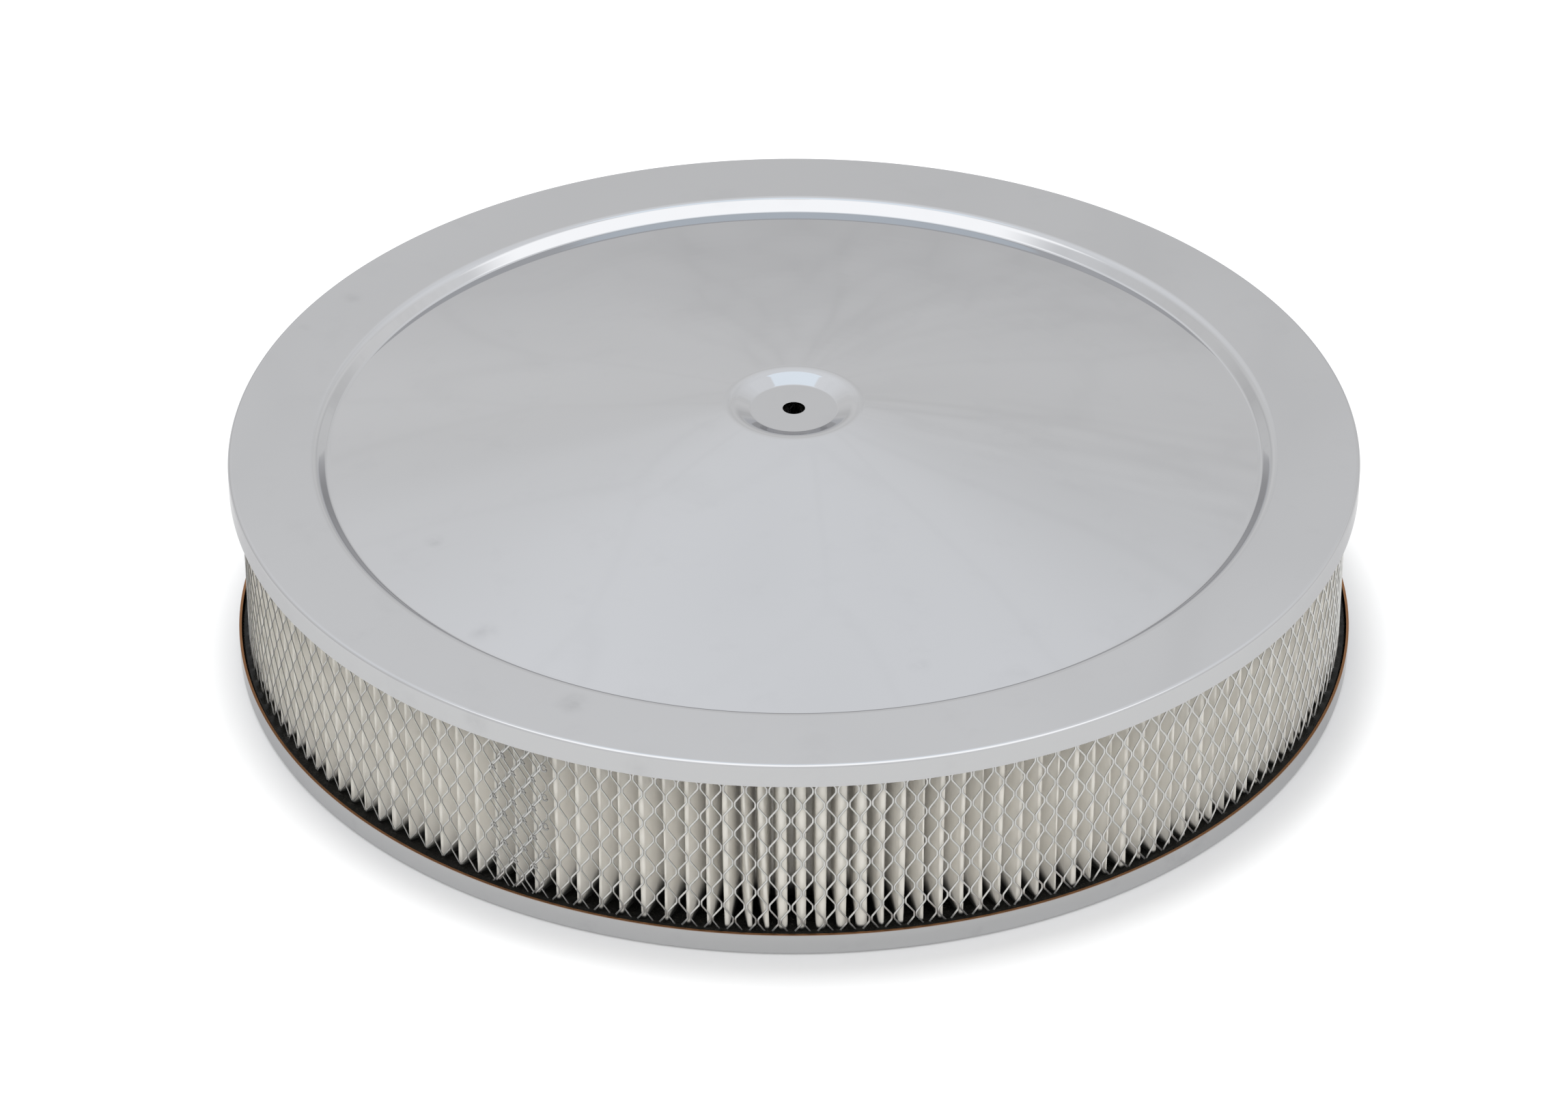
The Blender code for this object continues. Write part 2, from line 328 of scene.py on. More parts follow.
pan_path = bent_path([
    (BASE_RADIUS, RIM_HEIGHT, 0.0),
    (BASE_RADIUS, 0.0, RIM_FOLD),
    (STEP_OUTER_RADIUS, 0.0, RING_BEND),
    (STEP_INNER_RADIUS, STEP_HEIGHT, PANEL_BEND),
    (WELL_RADIUS, STEP_HEIGHT, NECK_BEND),
    (WELL_RADIUS, SEAT_HEIGHT, SEAT_BEND),
    (SEAT_BORE_RADIUS, SEAT_HEIGHT, 0.0),
])
pan_section = sheet_section(pan_path)
pan_chrome = chrome("base_chrome_plate", BASE_HAZE)
base_pan = turned("pressed_base_pan", pan_section, PAN_TURNS, pan_chrome)
edge_mask = np.zeros(len(pan_section))
edge_mask[[0, -1]] = 1.0
paint(base_pan, "bare_edge", np.tile(edge_mask, PAN_TURNS))
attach(base_pan, "root")
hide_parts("base_pan")

# Neck gasket: a flat ring of black rubber under the pan's inner flange, where the pan is
# clamped down on the carburetor's air horn.
gasket_low, gasket_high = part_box("neck_gasket")
GASKET_EDGE = 0.5 * MM
GASKET_TURNS = 240
GASKET_COLOR = (0.02, 0.02, 0.02)
GASKET_ROUGHNESS = (0.5, 0.75)
GASKET_GRAIN = (900.0, 3.0, 0.5)
GASKET_RELIEF = (0.5, 0.1 * MM)


def closed_section(corners):
    """Closed outline with rounded corners: the first corner is repeated to close the path."""
    wrapped = [(*corners[-1][:2], 0.0), *corners, (*corners[0][:2], 0.0)]
    return bent_path(wrapped)[1:-1]


def gasket_rubber():
    """Matt black rubber with a fine grain."""
    material, tree, shader = new_material("plain_gasket_rubber", GASKET_COLOR, GASKET_ROUGHNESS[0])
    grain = noise(tree, place_on(tree), *GASKET_GRAIN)
    roughen(tree, shader, grain, *GASKET_RELIEF)
    tree.links.new(ranged(tree, grain, *GASKET_ROUGHNESS), shader.inputs["Roughness"])
    return material


gasket_section = closed_section([
    (gasket_high.x, gasket_low.z, GASKET_EDGE),
    (SEAT_BORE_RADIUS, gasket_low.z, GASKET_EDGE),
    (SEAT_BORE_RADIUS, gasket_high.z, GASKET_EDGE),
    (gasket_high.x - SEAT_BEND, gasket_high.z, GASKET_EDGE),
    (gasket_high.x, gasket_high.z - SEAT_BEND, GASKET_EDGE),
])
neck_gasket = turned("rubber_neck_gasket", gasket_section, GASKET_TURNS, gasket_rubber())
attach(neck_gasket, "root")
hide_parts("neck_gasket")

# Inner screen: a sheet of expanded steel, cut and stretched from one band and rolled to a ring.
# Its strands run top to bottom as zigzags, bonded by turns to the neighbour on each side, and
# their ends are cast into the seals. It is made first, because the paper is wrapped round it.
inner_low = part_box("inner_screen")[0]
STRAND_WIDTH = 0.64 * MM
STRAND_THICKNESS = 0.34 * MM
STRAND_TILT = math.radians(24.0)
BOND_GAP = 0.06 * MM
LEVEL_SPACING = 5.29 * MM
FIRST_LEVEL = 9.8 * MM
BOND_SHARE = 0.11
CORNER_SHARE = 0.20
SCREEN_FOOT = 5.2 * MM
SCREEN_HEAD = 64.6 * MM
CAD_STRAND = 1.2 * MM
INNER_SCREEN_RADIUS = -inner_low.x - CAD_STRAND / 2
INNER_STRANDS = 286
INNER_SIDES = 4
SECTION_ROUNDNESS = 0.6
INNER_STEEL = (0.56, 0.56, 0.55)
INNER_ROUGHNESS = 0.4
STRAND_METALLIC = 0.85
WORN_SHADE = 0.72
WORN_ROUGHER = 0.2
SPANGLE = (420.0, 3.0, 0.65)
SPANGLE_TONES = (0.0, 0.5, 0.45, 0.75)
PATCHES = (45.0, 1.0, 0.5)
PATCH_TONES = (0.0, 0.25, 0.4, 0.7)
STRAND_RELIEF = (0.6, 0.03 * MM)
# Colour of painted shade on the outer screen's strand edges and curls.
PAINTED_SHADE_COLOR = (0.07, 0.065, 0.06)


def zigzag(phase, swing):
    """Side shift of a strand at a height phase counted in levels.

    At a whole number n the strand stands in a bond, swing to the right for even n and to the
    left for odd n. It is upright in the bond, and runs straight from bond to bond between.
    """
    level = np.floor(phase)
    share = phase - level
    start = (BOND_SHARE + CORNER_SHARE) / 2
    slope = np.clip((share - start) / (1 - 2 * start), 0.0, 1.0)
    return swing * np.where(level % 2 == 0, 1.0, -1.0) * (1 - 2 * slope)


def strand_phases():
    """Height phases of a strand's rings: its ends, and the ends of each bond and of its bends."""
    first, last = ((end - FIRST_LEVEL) / LEVEL_SPACING for end in (SCREEN_FOOT, SCREEN_HEAD))
    level = np.arange(math.floor(first), math.ceil(last) + 1)[:, None]
    phase = (level + np.array((-CORNER_SHARE, -BOND_SHARE, BOND_SHARE, CORNER_SHARE))).ravel()
    inside = phase[(phase > first) & (phase < last)]
    return np.concatenate(((first,), inside, (last,)))


def strand_rows(angle, radius, lift, parity, swing):
    """Centre lines of all strands as arrays [strand, ring]: turning angle, radius and height.

    The height of phase p is FIRST_LEVEL + LEVEL_SPACING p + lift, and the angle is the
    strand's own angle plus its zigzag shift divided by the radius.
    """
    phases = strand_phases()
    height = FIRST_LEVEL + LEVEL_SPACING * phases[None, :] + lift[:, None]
    shift = zigzag(phases[None, :] + parity[:, None], swing)
    return angle[:, None] + shift / radius[:, None], radius[:, None] + 0.0 * height, height


def strand_grid(angle, radius, height, sides, tilt):
    """Tube round each centre line [strand, ring], with a flat section turned by the tilt.

    A section point lies at half the width times cos u across and half the thickness times
    sin u through the strand, each drawn out towards the corners. "Across" is square to the
    strand's run in the sheet's tangent plane.
    """
    around = np.linspace(0.0, math.tau, sides, endpoint=False)
    cosine, sine = np.cos(around), np.sin(around)
    across = STRAND_WIDTH / 2 * np.sign(cosine) * np.abs(cosine) ** SECTION_ROUNDNESS
    through = STRAND_THICKNESS / 2 * np.sign(sine) * np.abs(sine) ** SECTION_ROUNDNESS
    side = np.cos(tilt) * across - np.sin(tilt) * through
    out = np.sin(tilt) * across + np.cos(tilt) * through
    run_side = np.gradient(angle, axis=1) * radius
    run_up = np.gradient(height, axis=1)
    length = np.hypot(run_side, run_up)
    cosine, sine = (run_up / length)[..., None], (run_side / length)[..., None]
    turned_angle = angle[..., None] + side * cosine / radius[..., None]
    turned_radius = radius[..., None] + out
    turned_height = height[..., None] - side * sine
    return np.stack((
        turned_radius * np.sin(turned_angle),
        -turned_radius * np.cos(turned_angle),
        turned_height,
    ), axis=-1)


def tube_faces(count, rings, sides):
    """Quads of many separate tubes of even side number, with flat caps."""
    wall = ring_faces(rings, sides, close_rows=False)
    half = np.arange(1, sides - 2, 2)
    cap = np.stack((np.zeros_like(half), half, half + 1, half + 2), axis=1)
    last = cap[:, ::-1] + (rings - 1) * sides
    one = np.concatenate((wall, cap, last))
    return (one[None] + (np.arange(count) * rings * sides)[:, None, None]).reshape(-1, 4)


def strand_steel(name, color, roughness):
    """Zinc-coated strand: satin metal, mottled, and dark with painted shade where it is marked."""
    material, tree, shader = new_material(name, color, roughness, STRAND_METALLIC)
    place = place_on(tree)
    spangle = noise(tree, place, *SPANGLE)
    patches = ranged(tree, noise(tree, place, *PATCHES), *PATCH_TONES)
    worn = combined(tree, "ADD", ranged(tree, spangle, *SPANGLE_TONES), patches)
    face = mix_colors(tree, worn, color, tuple(WORN_SHADE * share for share in color))
    # Painted shade: a stored value darkens parts of the strands.
    painted_shade = add_node(tree, "ShaderNodeAttribute", {"attribute_name": "painted_shade"}).outputs["Fac"]
    tree.links.new(mix_colors(tree, painted_shade, face, PAINTED_SHADE_COLOR), shader.inputs["Base Color"])
    rough = ranged(tree, worn, roughness, roughness + WORN_ROUGHER)
    tree.links.new(rough, shader.inputs["Roughness"])
    roughen(tree, shader, spangle, *STRAND_RELIEF)
    return material


inner_number = np.arange(INNER_STRANDS)
inner_pitch = math.tau * INNER_SCREEN_RADIUS / INNER_STRANDS
inner_rows = strand_rows(
    angle=math.tau * inner_number / INNER_STRANDS,
    radius=np.full(INNER_STRANDS, INNER_SCREEN_RADIUS),
    lift=np.zeros(INNER_STRANDS),
    parity=inner_number % 2,
    swing=(inner_pitch - STRAND_WIDTH - BOND_GAP) / 2,
)
inner_grid = strand_grid(*inner_rows, INNER_SIDES, STRAND_TILT)
inner_screen = skin(
    "expanded_inner_screen",
    inner_grid,
    tube_faces(INNER_STRANDS, inner_grid.shape[1], INNER_SIDES),
    strand_steel("inner_strand_steel", INNER_STEEL, INNER_ROUGHNESS),
)
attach(inner_screen, "root")
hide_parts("inner_screen")

# Pleated paper: one long strip of resin-treated cream paper, folded into 180 pleats and bent
# into a ring between the screens. Its edges are cast into the seals. The pleats stand
# unevenly, wider at the front left, and two or three near the front lean to the right.
paper_low, paper_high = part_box("pleated_paper")
PLEATS = 180
PAPER_THICKNESS = 0.45 * MM
PLEAT_OUTER_RADIUS = 172.7 * MM
PLEAT_INNER_RADIUS = 155.5 * MM
SHARP_FOLD = 0.40 * MM
ROUND_FOLD = 1.25 * MM
FOLD_POINTS = 5
FLANK_POINTS = 3
PAPER_ROWS = 9
PAPER_SHARP_ANGLE = 60.0
RING_SAMPLES = 2881
OTHER_PITCH = 5.85 * MM
PITCHES = (
    (math.radians(-70.0), math.radians(-9.5), 6.85 * MM),
    (math.radians(-8.5), math.radians(-3.5), 4.9 * MM),
    (math.radians(-3.0), math.radians(70.0), 6.1 * MM),
)
PITCH_MARGIN = math.radians(0.5)
ROUNDED_PLEATS = (math.radians(-3.0), math.radians(8.0), math.radians(2.0))
LEANING_PLEATS = math.radians(-4.2)
LEAN_WIDTH = math.radians(2.1)
LEAN_AT_FOOT = 3.2 * MM
LEAN_FADE = 1.3
VALLEY_HOLD = 1.5
CREST_DRIFT = -0.6 * MM
DRIFTING_PLEATS = (math.radians(-78.0), math.radians(-8.0), math.radians(6.0))
UNEVENNESS = 0.26 * MM
# Painted light: the paper is paler deep in the pleats than at the crests, where little light reaches.
PAPER_CREST_COLOR = (0.74, 0.715, 0.655)
PAPER_VALLEY_PAINTED_LIGHT = (0.985, 0.965, 0.92)
PAPER_CLOUD_COLOR = (0.62, 0.56, 0.45)
PAPER_CLOUDS = (60.0, 3.0, 0.5)
PAPER_CLOUDINESS = (0.0, 0.12, 0.35, 0.7)
PAPER_FIBRES = (1400.0, 4.0, 0.7)
PAPER_RELIEF = (0.4, 0.08 * MM)
PAPER_ROUGHNESS = 0.85
PAINTED_LIGHT_REACH = 7.0 * MM
# Black near the seal: partly casting that wicks into the paper, partly painted shade deep in the
# valleys.
SOAK_AND_SHADE_AT_CREST = 1.2 * MM
SOAK_AND_SHADE_DEEP_IN = 9.5 * MM
SOAK_AND_SHADE_RUN = 9.0 * MM
SOAK_AND_SHADE_FULL = 0.15
SOAK_AND_SHADE_COLOR = (0.02, 0.02, 0.018)
RANDOM_SEED = 7
unevenly = np.random.default_rng(RANDOM_SEED)


def smooth_step(value, low, high):
    """Rise smoothly from 0 at low to 1 at high."""
    share = np.clip((value - low) / (high - low), 0.0, 1.0)
    return share * share * (3 - 2 * share)


def between(angle, low, high, margin):
    """1 between two angles and 0 outside them, with soft ends."""
    entered = smooth_step(angle, low - margin, low + margin)
    return entered * (1 - smooth_step(angle, high - margin, high + margin))


def crest_angles():
    """Angles of the crests: pleats per radian is summed round the ring and shared out evenly."""
    angle = np.linspace(-math.pi, math.pi, RING_SAMPLES)
    pitch = np.full(angle.size, OTHER_PITCH)
    for first, last, local_pitch in PITCHES:
        pitch += (local_pitch - OTHER_PITCH) * between(angle, first, last, PITCH_MARGIN)
    summed = np.concatenate(((0.0,), np.cumsum(1 / pitch[:-1])))
    return np.interp(np.arange(PLEATS) / PLEATS, summed / summed[-1], angle)


def half_pleat(width, depth, fold):
    """Paper from the top of a crest to the floor of the next valley, for each half width.

    A fold is an arc of its own radius. The flank is the line that touches the crest's arc on
    its right and the valley's arc on its left. Arrays are [pleat, point].
    """
    half_depth = depth / 2 - fold
    centre_line = np.arctan2(width / 2, half_depth)
    reach = np.hypot(width / 2, half_depth)
    tilt = (centre_line - np.arcsin(fold / reach))[:, None]
    fold = fold[:, None]
    half_depth = half_depth[:, None]
    arc = np.linspace(0.0, 1.0, FOLD_POINTS)[None, :]
    crest = math.pi / 2 + (tilt - math.pi / 2) * arc
    crest_x = fold * np.cos(crest)
    crest_y = half_depth + fold * np.sin(crest)
    valley = math.pi + tilt + (math.pi / 2 - tilt) * arc
    valley_x = width[:, None] + fold * np.cos(valley)
    valley_y = -half_depth + fold * np.sin(valley)
    flank = np.linspace(0.0, 1.0, FLANK_POINTS + 2)[None, 1:-1]
    flank_x = crest_x[:, -1:] + (valley_x[:, :1] - crest_x[:, -1:]) * flank
    flank_y = crest_y[:, -1:] + (valley_y[:, :1] - crest_y[:, -1:]) * flank
    return np.hstack((crest_x, flank_x, valley_x)), np.hstack((crest_y, flank_y, valley_y))


def pleat_loop():
    """Middle line of the folded strip: angle, radius and share of the way out, round the ring."""
    crest = crest_angles()
    crest = crest + unevenly.normal(0.0, UNEVENNESS / 2, PLEATS) / PLEAT_OUTER_RADIUS
    following = np.concatenate((crest[1:], crest[:1] + math.tau))
    middle_radius = (PLEAT_OUTER_RADIUS + PLEAT_INNER_RADIUS) / 2
    depth = PLEAT_OUTER_RADIUS - PLEAT_INNER_RADIUS
    width = (following - crest) * middle_radius / 2
    rounded = between(crest, *ROUNDED_PLEATS)
    x, y = half_pleat(width, depth, SHARP_FOLD + (ROUND_FOLD - SHARP_FOLD) * rounded)
    falling = crest[:, None] + x / middle_radius
    rising = following[:, None] - x[:, ::-1] / middle_radius
    angle = np.hstack((falling[:, :-1], rising[:, :-1])).ravel()
    outward = np.hstack((y[:, :-1], y[:, ::-1][:, :-1])).ravel()
    return angle, middle_radius + outward, outward / depth + 0.5


def paper_grid():
    """Both faces of the strip as a closed grid [along the strip, up one face and down the other].

    The crests shift sideways by the lean, which fades to nothing at the valleys, and the two
    faces lie half a paper thickness to each side of the middle line.
    """
    angle, radius, share = pleat_loop()
    rise = np.linspace(0.0, 1.0, PAPER_ROWS)[None, :]
    height = paper_low.z + (paper_high.z - paper_low.z) * rise
    points_a_pleat = len(angle) // PLEATS
    sway = np.repeat(unevenly.normal(0.0, UNEVENNESS, (PLEATS, 3)), points_a_pleat, axis=0)
    leaning = np.exp(-((angle - LEANING_PLEATS) / LEAN_WIDTH) ** 2)[:, None]
    drifting = between(angle, *DRIFTING_PLEATS)[:, None]
    shift = LEAN_AT_FOOT * leaning * (1 - rise) ** LEAN_FADE + CREST_DRIFT * drifting
    shift = shift + sway[:, :1] * (1 - rise) + sway[:, 1:2] * rise
    shift = shift + sway[:, 2:] * np.sin(math.pi * rise)
    turned_angle = angle[:, None] + shift * share[:, None] ** VALLEY_HOLD / PLEAT_OUTER_RADIUS
    x = radius[:, None] * np.sin(turned_angle)
    y = -radius[:, None] * np.cos(turned_angle)
    run_x = np.roll(x, -1, axis=0) - np.roll(x, 1, axis=0)
    run_y = np.roll(y, -1, axis=0) - np.roll(y, 1, axis=0)
    run = np.hypot(run_x, run_y)
    off_x, off_y = run_y / run * PAPER_THICKNESS / 2, -run_x / run * PAPER_THICKNESS / 2
    z = height + 0.0 * x
    outside = np.stack((x + off_x, y + off_y, z), axis=-1)
    inside = np.stack((x - off_x, y - off_y, z), axis=-1)
    return np.concatenate((outside[:, ::-1], inside), axis=1)


def cream_paper():
    """Cloudy cream paper, paler deep in the pleats as painted light, and black near the seal.

    The black is partly casting that wicks into the paper and partly painted shade deep between
    the pleats. Its height falls from its deep-in value in the valleys to its value at the crests.
    """
    material, tree, shader = new_material("cream_filter_paper", PAPER_CREST_COLOR, PAPER_ROUGHNESS)
    place = place_on(tree)
    radius = vector_math(tree, "LENGTH", vector_math(tree, "MULTIPLY", place, (1.0, 1.0, 0.0)))
    crest = PLEAT_OUTER_RADIUS
    # Painted light: paler towards the valleys, over a reach inward from the crests.
    outward = ranged(tree, radius, 0.0, 1.0, crest - PAINTED_LIGHT_REACH, crest)
    cream = mix_colors(tree, outward, PAPER_VALLEY_PAINTED_LIGHT, PAPER_CREST_COLOR)
    cloudy = ranged(tree, noise(tree, place, *PAPER_CLOUDS), *PAPER_CLOUDINESS)
    cream = mix_colors(tree, cloudy, cream, PAPER_CLOUD_COLOR)
    axes = add_node(tree, "ShaderNodeSeparateXYZ")
    tree.links.new(place, axes.inputs["Vector"])
    above_seal = combined(tree, "SUBTRACT", axes.outputs["Z"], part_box("lower_end_seal")[1].z)
    # Painted shade with the wicked-in casting: the black rises higher deep between the pleats.
    soak_and_shade_top = ranged(tree, radius, SOAK_AND_SHADE_DEEP_IN, SOAK_AND_SHADE_AT_CREST, crest - SOAK_AND_SHADE_RUN, crest)
    risen = combined(tree, "DIVIDE", above_seal, soak_and_shade_top)
    soaked_and_shaded = ranged(tree, risen, 1.0, 0.0, SOAK_AND_SHADE_FULL, 1.0, smooth=True)
    tree.links.new(mix_colors(tree, soaked_and_shaded, cream, SOAK_AND_SHADE_COLOR), shader.inputs["Base Color"])
    roughen(tree, shader, noise(tree, place, *PAPER_FIBRES), *PAPER_RELIEF)
    return material


paper_points = paper_grid()
pleated_paper = skin(
    "folded_filter_paper",
    paper_points,
    ring_faces(*paper_points.shape[:2]),
    cream_paper(),
    PAPER_SHARP_ANGLE,
)
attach(pleated_paper, "root")
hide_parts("pleated_paper")

# Outer screen: the same expanded sheet round the outside. Its ends lap at the front left: the
# sheet starts there, goes once round and passes over its own start. On the lap, the cut
# strands at the bonds are curled back on themselves.
OUTER_SCREEN_RADIUS = 173.9 * MM
STRANDS_A_TURN = 324
OUTER_STRANDS = 329
LAP_SHIFT = 2.0 * MM
LAP_LIFT = 0.8 * MM
LAP_STRANDS = 7
LAP_BLEND = 4
TURN_RISE = 1.95 * MM
FRONT_BOND = math.radians(0.84)
FRONT_BOND_NUMBER = 28.5
LATTICE_WAVES = 4
LATTICE_WAVE_HEIGHT = 0.65 * MM
OUTER_SIDES = 6
OUTER_STEEL = (0.68, 0.68, 0.66)
OUTER_ROUGHNESS = 0.33
# Painted shade by tube side: full on a strand's narrow sides, and half on a curl's other sides.
STRAND_PAINTED_SHADE = (1.0, 0.0, 0.0, 1.0, 0.0, 0.0)
CURL_PAINTED_SHADE = (1.0, 0.5, 0.5, 1.0, 0.5, 0.5)
CURL_COLUMNS = 6
CURL_TOP_LEVEL = 9
CURL_RINGS = 15
CURL_SWEEP = math.radians(320.0)
END_CURL = 0.85 * MM
BOND_CURL = 0.55 * MM
CURL_TALLER = 1.4
CURL_LIFT = 0.5 * MM

outer_number = np.arange(OUTER_STRANDS)
outer_step = (math.tau + LAP_SHIFT / OUTER_SCREEN_RADIUS) / STRANDS_A_TURN
outer_angle = FRONT_BOND + (outer_number - FRONT_BOND_NUMBER) * outer_step
lap_start = OUTER_STRANDS - LAP_STRANDS
on_top = smooth_step(outer_number, lap_start - LAP_BLEND, lap_start)
turn_share = (outer_angle - FRONT_BOND) / math.tau
outer_wave = LATTICE_WAVE_HEIGHT * (1 - np.cos(LATTICE_WAVES * outer_angle))
outer_lift = outer_wave + TURN_RISE * turn_share
outer_rows = strand_rows(
    angle=outer_angle,
    radius=OUTER_SCREEN_RADIUS + LAP_LIFT * on_top,
    lift=outer_lift,
    parity=outer_number % 2,
    swing=(outer_step * OUTER_SCREEN_RADIUS - STRAND_WIDTH - BOND_GAP) / 2,
)
outer_grid = strand_grid(*outer_rows, OUTER_SIDES, STRAND_TILT)
curl_share = np.linspace(0.0, 1.0, CURL_RINGS)[None, :]
curl_turn = math.pi + CURL_SWEEP * (0.5 - curl_share)
lap_column, lap_level = np.meshgrid(np.arange(CURL_COLUMNS), np.arange(1, CURL_TOP_LEVEL + 1))
bonded = (OUTER_STRANDS - 1 - lap_column + lap_level) % 2 == 0
curl_column, curl_level = lap_column[bonded][:, None], lap_level[bonded][:, None]
curl_reach = np.where(curl_column == 0, END_CURL, BOND_CURL)
curl_side = outer_step * OUTER_SCREEN_RADIUS * (0.5 - curl_column)
curl_side = curl_side + curl_reach * (1 + np.cos(curl_turn))
curl_angle = outer_angle[-1] + curl_side / OUTER_SCREEN_RADIUS
curl_foot = FIRST_LEVEL + LEVEL_SPACING * curl_level + outer_lift[-1]
curl_height = curl_foot + CURL_TALLER * curl_reach * np.sin(curl_turn)
curl_radius = OUTER_SCREEN_RADIUS + LAP_LIFT + CURL_LIFT * curl_share + 0.0 * curl_height
curl_grid = strand_grid(curl_angle, curl_radius, curl_height, OUTER_SIDES, 0.0)
outer_faces = tube_faces(OUTER_STRANDS, outer_grid.shape[1], OUTER_SIDES)
curl_faces = tube_faces(len(curl_level), CURL_RINGS, OUTER_SIDES) + outer_grid.size // 3
outer_screen = skin(
    "expanded_outer_screen",
    np.concatenate((outer_grid.reshape(-1, 3), curl_grid.reshape(-1, 3))),
    np.concatenate((outer_faces, curl_faces)),
    strand_steel("outer_strand_steel", OUTER_STEEL, OUTER_ROUGHNESS),
)
# Painted shade: dark edges along each strand, and dark curls for the shadowed gaps on the lap.
paint(outer_screen, "painted_shade", np.concatenate((
    np.tile(STRAND_PAINTED_SHADE, outer_grid.size // (3 * OUTER_SIDES)),
    np.tile(CURL_PAINTED_SHADE, curl_grid.size // (3 * OUTER_SIDES)),
)))
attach(outer_screen, "root")
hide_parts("outer_screen")

# End seals: two rings of soft black casting, poured round the ends of the paper and screens.
# The casting has a dull shine, creeps up a little at each strand, and holds air bubbles.
lower_low, lower_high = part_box("lower_end_seal")
upper_low, upper_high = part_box("upper_end_seal")
SEAL_OUTER_RADIUS = lower_high.x
SEAL_INNER_RADIUS = 151.8 * MM
SEAL_EDGE = 0.7 * MM
SEAL_TURNS = 1512
UPPER_SEAL_TURNS = 360
TOP_POINTS = 25
TOP_CROWDING = 0.6
TOP_BAND = 0.3 * SEAL_EDGE
CREEP_HEIGHT = 0.45 * MM
CREEP_WIDTH = 0.7 * MM
BUBBLES = 60
BUBBLE_BAND = (6.5 * MM, 1.2 * MM)
BUBBLE_REACH = 0.55 * MM
BUBBLE_STEEPNESS = 6.0
BUBBLE_HEIGHT = 0.25 * MM
SEAL_COLOR = (0.008, 0.008, 0.007)
SEAL_ROUGHNESS = (0.12, 0.42, 0.35, 0.7)
SEAL_SHINE = 0.12
SEAL_GRAIN = (260.0, 4.0, 0.6)
SEAL_RELIEF = (0.7, 0.15 * MM)
SMALL = 1e-6


def plain_seal_section(bottom, top):
    """Closed section of a seal with rounded edges."""
    return closed_section([
        (SEAL_OUTER_RADIUS, bottom, SEAL_EDGE),
        (SEAL_INNER_RADIUS, bottom, SEAL_EDGE),
        (SEAL_INNER_RADIUS, top, SEAL_EDGE),
        (SEAL_OUTER_RADIUS, top, SEAL_EDGE),
    ])


def fine_seal_section(bottom, top):
    """The same section with a finely divided top, its points closer towards the outside."""
    path = plain_seal_section(bottom, top)
    inner_end = SEAL_INNER_RADIUS + SEAL_EDGE
    outer_end = SEAL_OUTER_RADIUS - SEAL_EDGE
    share = np.linspace(0.0, 1.0, TOP_POINTS)[1:-1] ** TOP_CROWDING
    run = np.stack((inner_end + (outer_end - inner_end) * share, np.full(share.size, top)), axis=1)
    between_ends = (path[:, 0] > inner_end + SMALL) & (path[:, 0] < outer_end - SMALL)
    kept = path[~(between_ends & (path[:, 1] > top - SMALL))]
    cut = int(np.argmin(np.hypot(kept[:, 0] - inner_end, kept[:, 1] - top))) + 1
    return np.concatenate((kept[:cut], run, kept[cut:]))


def cast_seal(bottom, top, strand_angle):
    """Points of the lower seal, whose top rises by a bell curve at each strand of the outer
    screen, and by a ring round each bubble.
    """
    section = fine_seal_section(bottom, top)
    grid = turned_grid(section, SEAL_TURNS)
    radius = np.hypot(grid[..., 0], grid[..., 1])
    azimuth = np.arctan2(grid[..., 0], -grid[..., 1])
    order = np.sort((strand_angle + math.pi) % math.tau - math.pi)
    near = np.clip(np.searchsorted(order, azimuth), 1, order.size - 1)
    gap = np.minimum(np.abs(azimuth - order[near - 1]), np.abs(azimuth - order[near]))
    away = np.hypot(gap * OUTER_SCREEN_RADIUS, radius - OUTER_SCREEN_RADIUS)
    height = CREEP_HEIGHT * np.exp(-((away / CREEP_WIDTH) ** 2))
    bubble_angle = unevenly.uniform(-math.pi, math.pi, BUBBLES)
    inner_bubble, outer_bubble = (SEAL_OUTER_RADIUS - inset for inset in BUBBLE_BAND)
    bubble_radius = unevenly.uniform(inner_bubble, outer_bubble, BUBBLES)
    for angle, centre_radius in zip(bubble_angle, bubble_radius):
        turn = np.abs((azimuth - angle + math.pi) % math.tau - math.pi) * centre_radius
        away = np.hypot(turn, radius - centre_radius) / BUBBLE_REACH
        height = height + BUBBLE_HEIGHT * np.exp(-((away - 1.0) ** 2) * BUBBLE_STEEPNESS)
    on_top_face = section[:, 1] > top - TOP_BAND
    grid[..., 2] += np.where(on_top_face[None, :], height, 0.0)
    return grid


def cast_black():
    """Black casting with a dull shine and a faint skin texture."""
    material, tree, shader = new_material("cast_seal_black", SEAL_COLOR, SEAL_ROUGHNESS[0])
    shader.inputs["Specular IOR Level"].default_value = SEAL_SHINE
    grain = noise(tree, place_on(tree), *SEAL_GRAIN)
    tree.links.new(ranged(tree, grain, *SEAL_ROUGHNESS), shader.inputs["Roughness"])
    roughen(tree, shader, grain, *SEAL_RELIEF)
    return material


seal_black = cast_black()
lower_grid = cast_seal(lower_low.z, lower_high.z, outer_rows[0][:, 1])
lower_faces = ring_faces(*lower_grid.shape[:2])
lower_seal = skin("cast_lower_seal", lower_grid, lower_faces, seal_black)
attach(lower_seal, "root")
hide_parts("lower_end_seal")

upper_section = plain_seal_section(upper_low.z, upper_high.z)
upper_seal = turned("cast_upper_seal", upper_section, UPPER_SEAL_TURNS, seal_black)
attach(upper_seal, "root")
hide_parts("upper_end_seal")

